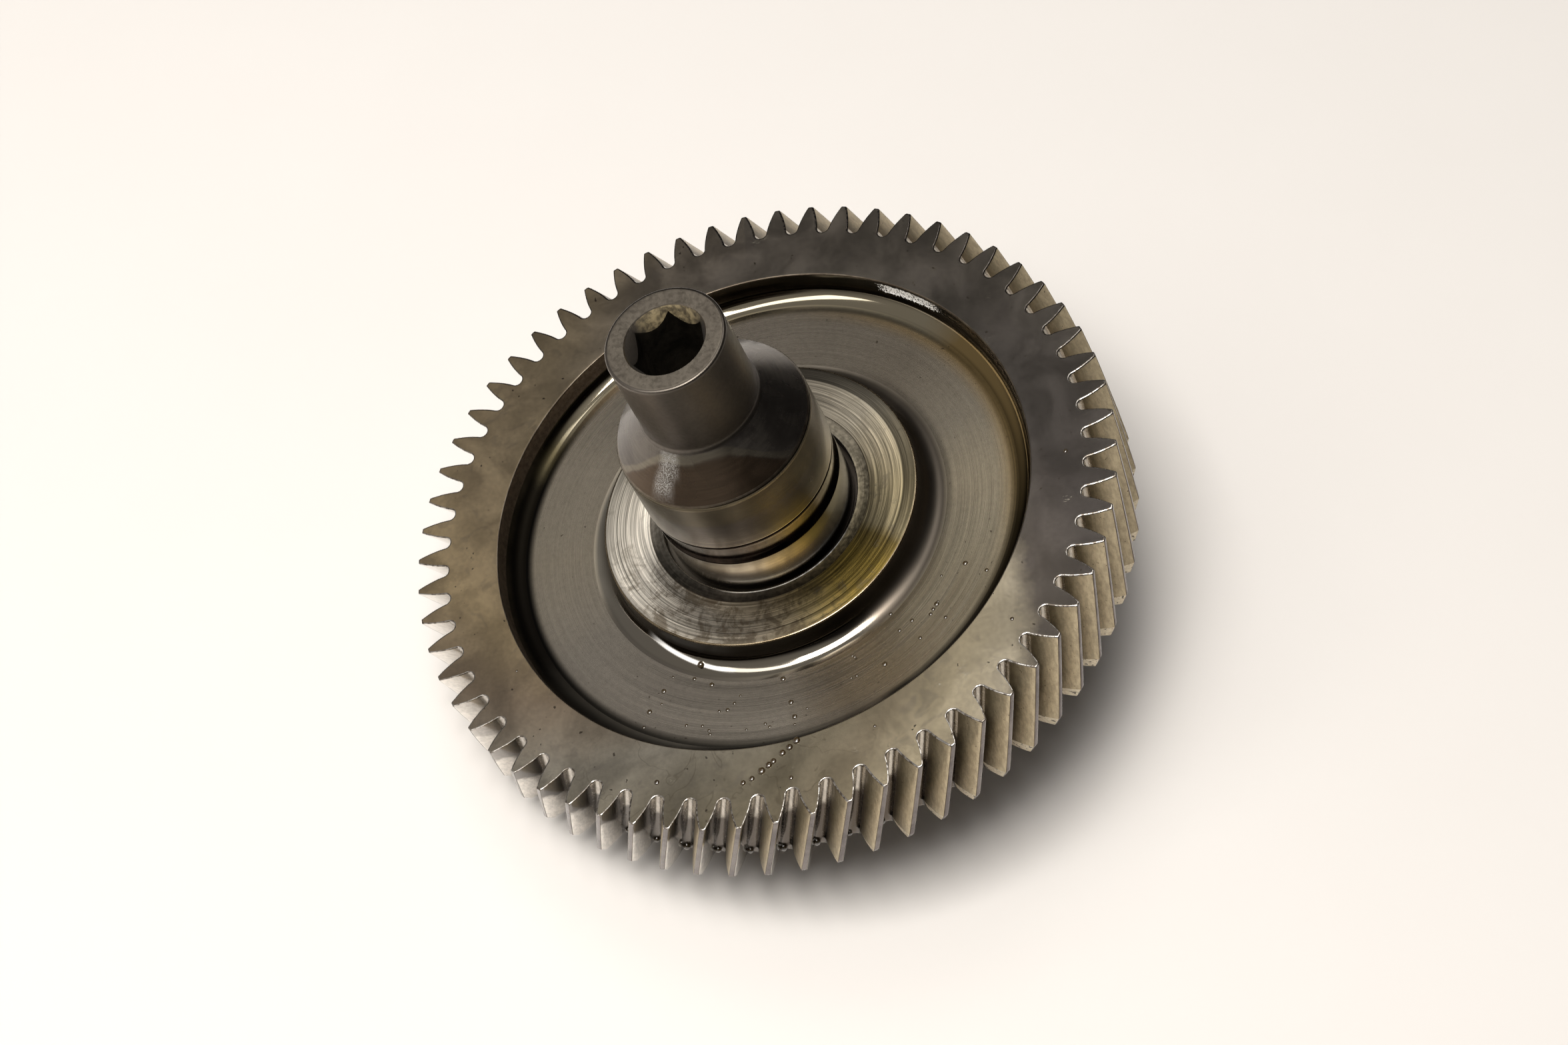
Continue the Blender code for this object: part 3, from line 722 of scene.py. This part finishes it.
def arc(centre_r, centre_z, radius, start_deg, end_deg, steps, tag):
    rows = []
    for i in range(steps + 1):
        a = math.radians(start_deg + (end_deg - start_deg) * i / steps)
        rows.append((centre_r + radius * math.cos(a), centre_z + radius * math.sin(a), tag))
    return rows


def carve(obj, cutters):
    """Subtract the cutters for good and remove them."""
    for cutter in cutters:
        mod = obj.modifiers.new(cutter.name, "BOOLEAN")
        mod.operation = "DIFFERENCE"
        mod.solver = "EXACT"
        mod.material_mode = "TRANSFER"
        mod.object = cutter
    bpy.context.view_layer.update()
    graph = bpy.context.evaluated_depsgraph_get()
    mesh = bpy.data.meshes.new_from_object(obj.evaluated_get(graph), depsgraph=graph)
    obj.modifiers.clear()
    obj.data = mesh
    for cutter in cutters:
        bpy.data.objects.remove(cutter)
    mesh.shade_smooth()
    mesh.set_sharp_from_angle(angle=math.radians(40.0))


def sharpen_between(mesh, first, second):
    """Hard edges wherever two materials meet."""
    slots = {mesh.materials.find(first.name), mesh.materials.find(second.name)}
    bm = bmesh.new()
    bm.from_mesh(mesh)
    for edge in bm.edges:
        if {face.material_index for face in edge.link_faces} == slots:
            edge.smooth = False
    bm.to_mesh(mesh)
    bm.free()


def block(name, x0, x1, width, z0, z1, materials, tag):
    s = Shape()
    corners = [(x1, width / 2), (x0, width / 2), (x0, -width / 2), (x1, -width / 2)]
    s.verts = [(x, y, z) for z in (z1, z0) for x, y in corners]
    top, bottom = [0, 1, 2, 3], [4, 5, 6, 7]
    s.bridge(top, bottom, tag)
    s.face(top, tag)
    s.face(bottom, tag)
    return s.build(name, materials)


# ---- gear wheel

def involute(angle):
    return math.tan(angle) - angle


def half_tooth_angle(radius):
    transverse = math.atan(math.tan(NORMAL_PRESSURE_ANGLE) / math.cos(HELIX_ANGLE))
    base_r = REFERENCE_R * math.cos(transverse)
    here = math.acos(min(1.0, base_r / radius))
    return PITCH / 4.0 + involute(transverse) - involute(here)


def tooth_side(tip_r, root_r, thinner):
    """Points (radius, angle) from the land's end to the middle of the space, and the tag of each step."""
    side = [(tip_r, half_tooth_angle(TIP_R) - (thinner + TIP_EDGE) / tip_r)]
    tags = ["tip_edge"]
    top = tip_r - TIP_EDGE
    for i in range(FLANK_STEPS + 1):
        r = top + (FORM_R - top) * i / FLANK_STEPS
        side.append((r, half_tooth_angle(min(r, TIP_R)) - thinner / r))
        tags.append("flank")
    form_angle = side[-1][1]
    tags[-1] = "root"
    for i in range(1, FILLET_STEPS):
        t = math.radians(90.0 * i / FILLET_STEPS)
        side.append((FORM_R - (FORM_R - root_r) * math.sin(t),
                     PITCH / 2.0 - (PITCH / 2.0 - form_angle) * math.cos(t)))
        tags.append("root")
    side.append((root_r, PITCH / 2.0))
    return side, tags


def tooth_loop(shape, z, edge, relief):
    """One closed loop round all the teeth. edge insets it; relief (0 to 1) thins the clockwise flank."""
    tip_r = TIP_R - edge - relief * RELIEF_TIP
    root_r = ROOT_R - edge
    back, back_tags = tooth_side(tip_r, root_r, edge + relief * RELIEF_DEPTH)
    ahead, ahead_tags = tooth_side(tip_r, root_r, edge)
    outline = [(r, -a) for r, a in reversed(back[:-1])] + ahead
    tags = [t + "_cw" if t == "flank" else t for t in reversed(back_tags[:-1])] + ["land"]
    tags += [t + "_ccw" if t == "flank" else t for t in ahead_tags] + ["root"]
    first = len(shape.verts)
    for k in range(TEETH):
        centre = k * PITCH + TWIST_PER_MM * (z + EDGE)
        for r, a in outline:
            shape.verts.append((r * math.cos(centre + a), r * math.sin(centre + a), z))
    return list(range(first, len(shape.verts))), tags


def end_face(shape, loop, ring, per_tooth, shift, tag):
    """Flat face between the tooth outline and the first turned ring."""
    size = len(ring)
    for k in range(TEETH):
        teeth = [loop[k * per_tooth - 1]] + loop[k * per_tooth:(k + 1) * per_tooth]
        at = (k - shift) * RING_SPLIT
        inner = [ring[(at - i) % size] for i in range(RING_SPLIT + 1)]
        shape.face(teeth + inner, tag)


def quarter(edge, steps=3):
    """(inset, depth) pairs of a rounded edge, from the face to the side."""
    return [(edge * (1 - math.sin(t)), edge * (1 - math.cos(t)))
            for t in (math.pi / 2 * i / steps for i in range(steps + 1))]


def gear_wheel(materials):
    s = Shape()
    loops = [(0.0, EDGE + 0.1, 0.0, None)]
    loops += [(-depth, inset, 0.0, "edge") for inset, depth in quarter(EDGE)]
    relief_z = RELIEF_HEIGHT - FACE_WIDTH
    for z in (-0.7, -4.0, -8.0, -12.0, -16.0, -19.0, relief_z + 0.25, relief_z):
        loops.append((z, 0.0, 0.0, "side"))
    for share in (0.12, 0.45, 1.0 - EDGE / RELIEF_HEIGHT):
        loops.append((relief_z - share * RELIEF_HEIGHT, 0.0, share, "relief"))
    for inset, depth in reversed(quarter(EDGE)[:-1]):
        share = 1.0 - depth / RELIEF_HEIGHT
        loops.append((-FACE_WIDTH + depth, inset, share, "edge"))
    loops.append((-FACE_WIDTH, EDGE + 0.1, 1.0, None))
    rings = []
    for z, inset, relief, kind in loops:
        loop, tags = tooth_loop(s, z, inset, relief)
        names = {"tip_edge": "dark_edge", "land": "land", "root": "root",
                 "flank_cw": "relief" if kind == "relief" else "flank_cw", "flank_ccw": "flank_ccw"}
        row = [("edge" if kind == "edge" else names[t]) for t in tags] * TEETH
        if kind is None:
            row = "rim"
        if rings:
            s.bridge(rings[-1], loop, row)
        rings.append(loop)
    per_tooth = len(rings[0]) // TEETH
    wall_z = RECESS_FILLET - RECESS_DEPTH
    front = rounded([(FACE_RING_R, 0.0, 0.0, "rim", ""), (RECESS_R, 0.0, 0.3, "rim", "dark_edge"),
                     (RECESS_R, wall_z, 0.0, "recess", "")])
    front += arc(RECESS_R - RECESS_FILLET, wall_z, RECESS_FILLET, -9.0, -90.0, 9, "recess")
    front += [(RECESS_R - RECESS_FILLET - 0.8, -RECESS_DEPTH, "web"),
              (HUB_R + RECESS_FILLET + 0.8, -RECESS_DEPTH, "web")]
    front += arc(HUB_R + RECESS_FILLET, wall_z, RECESS_FILLET, -90.0, -171.0, 9, "recess")
    hub = [(HUB_R, wall_z, 0.0, "recess", ""), (HUB_R, 0.0, 0.4, "recess", "tan_edge"),
           (WORN_R, 0.0, 0.0, "thrust", ""), (WORN_R - 0.15, -0.06, 0.0, "dark_edge", ""),
           (COUNTERBORE_R, -0.06, 0.22, "inner", "root")]
    bore = [(COUNTERBORE_R, -COUNTERBORE_DEPTH, 0.1, "recess", "recess"),
            (BORE_R, -COUNTERBORE_DEPTH, 0.2, "recess", "recess"),
            (BORE_R, -FACE_WIDTH, 0.2, "rear", "rear"),
            (HUB_R - 1.0, -FACE_WIDTH, 0.0, "rear", "")]
    rows = front + rounded(hub + bore)
    mirrored = front + rounded(hub[:2] + [(HUB_R - 1.0, 0.0, 0.0, "rear", "")])
    rows += [(r, -FACE_WIDTH - z, "rear") for r, z, _ in reversed(mirrored)][1:]
    turned = s.turned(rows, TEETH * RING_SPLIT, PITCH / 2.0)
    end_face(s, rings[0], turned[0], per_tooth, 0, "rim")
    end_face(s, rings[-1], turned[-1], per_tooth, round(TWIST_PER_MM * FACE_WIDTH / PITCH), "rear")
    wheel = s.build("toothed_wheel", materials)
    carve(wheel, [block("keyway", BORE_R - 4.0, KEYWAY_R, KEYWAY_WIDTH, -FACE_WIDTH - 1.0, -1.0, materials,
                        "rear")])
    sharpen_between(wheel.data, materials["relief"], materials["flank_cw"])
    return wheel


# ---- drive shaft

def drive_shaft(materials):
    ring_front = -FACE_WIDTH
    ring_back = ring_front - RING_SLOT
    rows = rounded([
        (9.9, SPIGOT_TOP, 0.0, "spigot_end", ""), (SPIGOT_R, SPIGOT_TOP, 0.7, "spigot_end", "spigot"),
        (SPIGOT_R, CONE_TOP, 0.8, "spigot", "spigot"),
        (20.9, CONE_FOOT, 0.25, "cone", "dark_edge"), (JOURNAL_R, 31.4, 0.25, "journal", "journal"),
        (JOURNAL_R, JOURNAL_FOOT, 0.12, "journal", "dark_edge"),
        (JOURNAL_R - 0.2, JOURNAL_FOOT - 0.2, 0.1, "dark_edge", "groove"),
        (JOURNAL_R - 0.1, 15.8, 0.1, "groove", "groove"), (JOURNAL_R - 0.1, 15.2, 0.2, "groove", "groove"),
        (GROOVE_R, GROOVE_TOP, 0.5, "groove", "groove"), (GROOVE_R, GROOVE_FOOT, 0.8, "groove", "groove"),
        (COLLAR_R, COLLAR_TOP, 0.2, "groove", "groove"),
        (COLLAR_R, COLLAR_FOOT, 0.3, "collar", "collar"), (SEAT_R, -2.2, 0.3, "rear", "rear"),
        (SEAT_R, ring_front, 0.1, "rear", "rear"), (RING_GROOVE_R, ring_front, 0.1, "rear", "rear"),
        (RING_GROOVE_R, ring_back, 0.1, "rear", "rear"), (SEAT_R, ring_back, 0.1, "rear", "rear"),
        (SEAT_R, SEAT_END, 0.5, "rear", "edge"), (REAR_R, SEAT_END, 0.6, "rear", "rear"),
        (REAR_R, REAR_END, 1.0, "journal", "edge"), (4.0, REAR_END, 0.0, "rear", ""),
    ])
    s = Shape()
    loops = s.turned(rows, SHAFT_SEGMENTS)
    s.face(loops[0], "spigot_end")
    s.face(loops[-1], "rear")
    shaft = s.build("stub_shaft", materials)
    carve(shaft, socket_cutters(materials))
    return shaft


def socket_cutters(materials):
    """Hexagon hole with a conical bottom, its round lead-in, the keyway and the lathe centre."""
    top = SPIGOT_TOP + 1.0
    corner_r = HEX_FLATS / (2.0 * math.cos(math.pi / 6.0))
    flat_r = HEX_FLATS / 2.0
    hexagon = Shape()
    hexagon.turned([(corner_r, top, ""), (corner_r, SPIGOT_TOP - HEX_DEPTH, "bore"),
                    (0.4, SPIGOT_TOP - HEX_DEPTH - corner_r * 0.5, "bore")], 6, HEX_TURN)
    hexagon.face(list(range(6)), "bore")
    hexagon.face(list(range(12, 18)), "bore")
    slope = (MOUTH_R - flat_r) / MOUTH_DEPTH
    mouth = Shape()
    rows = [(MOUTH_R + slope + 0.5, top, ""), (MOUTH_R + 0.35, SPIGOT_TOP + 0.15, "spigot_end"),
            (MOUTH_R, SPIGOT_TOP - 0.25, "spigot_end"),
            (flat_r - slope * 0.5, SPIGOT_TOP - MOUTH_DEPTH - 0.5, "grime")]
    loops = mouth.turned(rows, SHAFT_SEGMENTS)
    mouth.face(loops[0], "grime")
    mouth.face(loops[-1], "bore")
    centre = Shape()
    loops = centre.turned([(1.25, REAR_END + 6.0, ""), (1.25, REAR_END + 3.03, "rear"),
                           (3.0, REAR_END, "rear"), (3.58, REAR_END - 1.0, "rear")], 48)
    centre.face(loops[0], "rear")
    centre.face(loops[-1], "rear")
    keyway = block("shaft_keyway", 12.2, SEAT_R + 4.0, KEYWAY_WIDTH, -20.8, -4.2, materials, "rear")
    return [hexagon.build("hexagon", materials), mouth.build("mouth", materials),
            centre.build("centre", materials), keyway]


# ---- oil

def dome(shape, radius, azimuth_deg, z, size, height=0.5):
    """A low round drop on a flat face."""
    a = math.radians(azimuth_deg)
    x, y = radius * math.cos(a), radius * math.sin(a)
    loops = []
    for k in range(5):
        t = math.pi / 2 * k / 5
        loop = shape.ring(size * math.cos(t), z + size * height * math.sin(t) - 0.01, 14)
        for i in loop:
            vx, vy, vz = shape.verts[i]
            shape.verts[i] = (vx + x, vy + y, vz)
        if loops:
            shape.bridge(loop, loops[-1], "oil")
        loops.append(loop)
    top = len(shape.verts)
    shape.verts.append((x, y, z + size * height))
    for i in range(14):
        shape.face((loops[-1][i], loops[-1][(i + 1) % 14], top), "oil")


def hanging_drop(shape, radius, azimuth_deg, z, size):
    """A drop in a tooth space: an ellipsoid, longer along the axis."""
    a = math.radians(azimuth_deg)
    centre = Vector((radius * math.cos(a), radius * math.sin(a), z))
    loops = []
    for k in range(1, 7):
        t = math.pi * k / 7 - math.pi / 2
        loop = shape.ring(size * math.cos(t), 1.3 * size * math.sin(t), 14)
        for i in loop:
            shape.verts[i] = tuple(Vector(shape.verts[i]) + centre)
        if loops:
            shape.bridge(loop, loops[-1], "oil")
        loops.append(loop)
    shape.face(loops[0], "oil")
    shape.face(loops[-1], "oil")


def oil_drops(materials):
    """Drops on the rim, the web, the hub's foot and in the lowest tooth spaces."""
    s = Shape()
    chance = random.Random(11)
    for k in range(8):
        t = k / 7
        dome(s, 60.6 + 7.8 * t + chance.uniform(-0.3, 0.3),
             -175.0 - 10.5 * t + chance.uniform(-0.4, 0.4), 0.0, chance.uniform(0.6, 0.85), 0.6)
    for radius, azimuth, size in ((68.4, 158.5, 0.6), (68.9, -176.9, 0.5), (67.2, -128.5, 0.45),
                                  (64.5, -160.0, 0.35), (67.5, -93.0, 0.5), (63.0, 118.0, 0.3)):
        dome(s, radius, azimuth, 0.0, size)
    for k in range(34):
        radius = math.sqrt(chance.uniform(40.5 ** 2, 54.5 ** 2))
        dome(s, radius, chance.uniform(-215.0, -115.0), -RECESS_DEPTH,
             chance.choice((0.3, 0.36, 0.45, 0.58)))
    for radius, azimuth in ((46.7, -132.0), (47.0, -133.5), (50.3, -132.3), (49.0, -140.1), (44.1, -142.0),
                            (39.6, -139.9)):
        dome(s, radius, azimuth, -RECESS_DEPTH, 0.42)
    dome(s, 37.3, 154.0, -6.1, 0.8, 0.9)
    turn = math.degrees(PITCH / 2.0 + TWIST_PER_MM * (EDGE - FACE_WIDTH))
    step = math.degrees(PITCH)
    for k in range(-4, 10):
        azimuth = 180.0 + turn + (k - 5) * step
        hanging_drop(s, ROOT_R + 0.2, azimuth, 1.2 - FACE_WIDTH, chance.uniform(0.55, 0.85))
    return s.build("oil_drops", materials, 60.0)


# ---- stage

def table_normal():
    return Vector((-math.sin(LEAN) * math.cos(LEAN_TOWARDS), -math.sin(LEAN) * math.sin(LEAN_TOWARDS),
                   math.cos(LEAN)))


def table_axes():
    """Right, back and up of the table as the camera sees it."""
    up = table_normal()
    camera = bpy.context.scene.camera.matrix_world
    right = camera.col[0].to_3d()
    right = (right - up * right.dot(up)).normalized()
    return right, up.cross(right), up


def make_camera():
    data = bpy.data.cameras.new("camera")
    data.lens = CAMERA_LENS
    data.sensor_width = 36.0
    data.clip_start = 0.05
    camera = add_object("camera", data)
    camera.location = CAMERA_AT
    camera.rotation_euler = [math.radians(v) for v in CAMERA_TURN]
    bpy.context.scene.camera = camera
    bpy.context.view_layer.update()


def make_table():
    """A pale table that fades into the backdrop far from the part."""
    mat = bpy.data.materials.new("pale_table")
    mat.use_nodes = True
    t = Tree(mat.node_tree)
    shader = mat.node_tree.nodes["Principled BSDF"]
    place = t.node("ShaderNodeTexCoord").outputs["Object"]
    cloud = t.noise(place, 14.0, 4.0, 0.6)
    t.put(shader.inputs["Base Color"], t.mix(cloud, (0.573, 0.544, 0.516), (0.593, 0.566, 0.540)))
    shader.inputs["Roughness"].default_value = 0.55
    glow = t.node("ShaderNodeEmission", (colour(BACKDROP),))
    far = t.ramp(t.vector("LENGTH", place), TABLE_FADE_START, TABLE_FADE_END)
    far = t.times(far, t.node("ShaderNodeLightPath").outputs["Is Camera Ray"])
    blend = t.node("ShaderNodeMixShader", (far, shader.outputs[0], glow.outputs[0]))
    t.put(mat.node_tree.nodes["Material Output"].inputs[0], blend.outputs[0])
    bm = bmesh.new()
    bmesh.ops.create_circle(bm, cap_ends=True, radius=TABLE_R, segments=96)
    mesh = bpy.data.meshes.new("table")
    bm.to_mesh(mesh)
    bm.free()
    mesh.materials.append(mat)
    table = add_object("table", mesh)
    up = table_normal()
    table.rotation_mode = "QUATERNION"
    table.rotation_quaternion = up.to_track_quat("Z", "Y")
    slope = Vector((math.cos(LEAN_TOWARDS), math.sin(LEAN_TOWARDS), 0.0))
    table.location = slope * (LEAN_EDGE_R * MM)


def direction(azimuth, elevation):
    """Unit vector over the table; azimuth is from its back towards its right, in degrees."""
    right, back, up = table_axes()
    a, e = math.radians(azimuth), math.radians(elevation)
    return (right * math.sin(a) + back * math.cos(a)) * math.cos(e) + up * math.sin(e)


def make_light(name, azimuth, elevation, distance, size, power, tint):
    """A soft box that lights the object and that the camera doesn't see."""
    away = direction(azimuth, elevation)
    data = bpy.data.lights.new(name, "AREA")
    data.shape = "RECTANGLE"
    data.size, data.size_y = size
    data.energy = power
    data.color = tint
    lamp = add_object(name, data)
    lamp.location = Vector((0.0, 0.0, 0.04)) + away * distance
    lamp.rotation_mode = "QUATERNION"
    lamp.rotation_quaternion = away.to_track_quat("Z", "Y")
    lamp.visible_camera = False


def make_world():
    """Soft room light, dimmer in one quarter; the camera sees a backdrop of the table's colour."""
    world = bpy.data.worlds.new("studio")
    world.use_nodes = True
    bpy.context.scene.world = world
    t = Tree(world.node_tree)
    world.node_tree.nodes.clear()
    ray = t.node("ShaderNodeTexCoord").outputs["Generated"]
    height = t.vector("DOT_PRODUCT", ray, tuple(table_normal()))
    side = t.vector("DOT_PRODUCT", ray, tuple(direction(-115.0, 35.0)))
    room = t.mix(t.ramp(side, 0.44, 0.74), (0.030, 0.028, 0.027), (0.34, 0.325, 0.305))
    lifted = t.mix(t.ramp(height, 0.80, 1.0), room, (0.40, 0.385, 0.36))
    panel = t.vector("DOT_PRODUCT", ray, tuple(direction(-41.0, 52.0)))
    room = t.mix(t.ramp(panel, math.cos(math.radians(9.0)), math.cos(math.radians(5.0))), lifted,
                 (0.60, 0.57, 0.51))
    seen = t.node("ShaderNodeBackground", (colour(BACKDROP),))
    lit = t.node("ShaderNodeBackground", (room,))
    from_camera = t.node("ShaderNodeLightPath").outputs["Is Camera Ray"]
    choose = t.node("ShaderNodeMixShader", (from_camera, lit.outputs[0], seen.outputs[0]))
    t.put(t.node("ShaderNodeOutputWorld").inputs[0], choose.outputs[0])


def make_stage():
    make_camera()
    make_table()
    make_world()
    make_light("overhead_softbox", -140.0, 72.0, 1.5, (0.7, 0.7), 34.0, (1.0, 0.98, 0.95))
    make_light("back_fill", -10.0, 65.0, 1.5, (0.6, 0.6), 3.5, (1.0, 0.98, 0.95))
    make_light("left_window", -112.0, 48.0, 1.4, (0.35, 0.9), 4.0, (1.0, 0.985, 0.96))
    bpy.context.scene.view_settings.view_transform = "Standard"


# ---- the object

def main():
    materials = make_materials()
    wheel = gear_wheel(materials)
    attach(wheel, "root")
    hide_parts("gear_wheel")
    shaft = drive_shaft(materials)
    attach(shaft, "root")
    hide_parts("drive_shaft")
    drops = oil_drops(materials)
    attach(drops, "root")
    for node, tag in (("drive_key", "key"), ("retaining_ring", "spring")):
        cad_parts[node].data.materials.clear()
        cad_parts[node].data.materials.append(materials[tag])
    make_stage()


main()
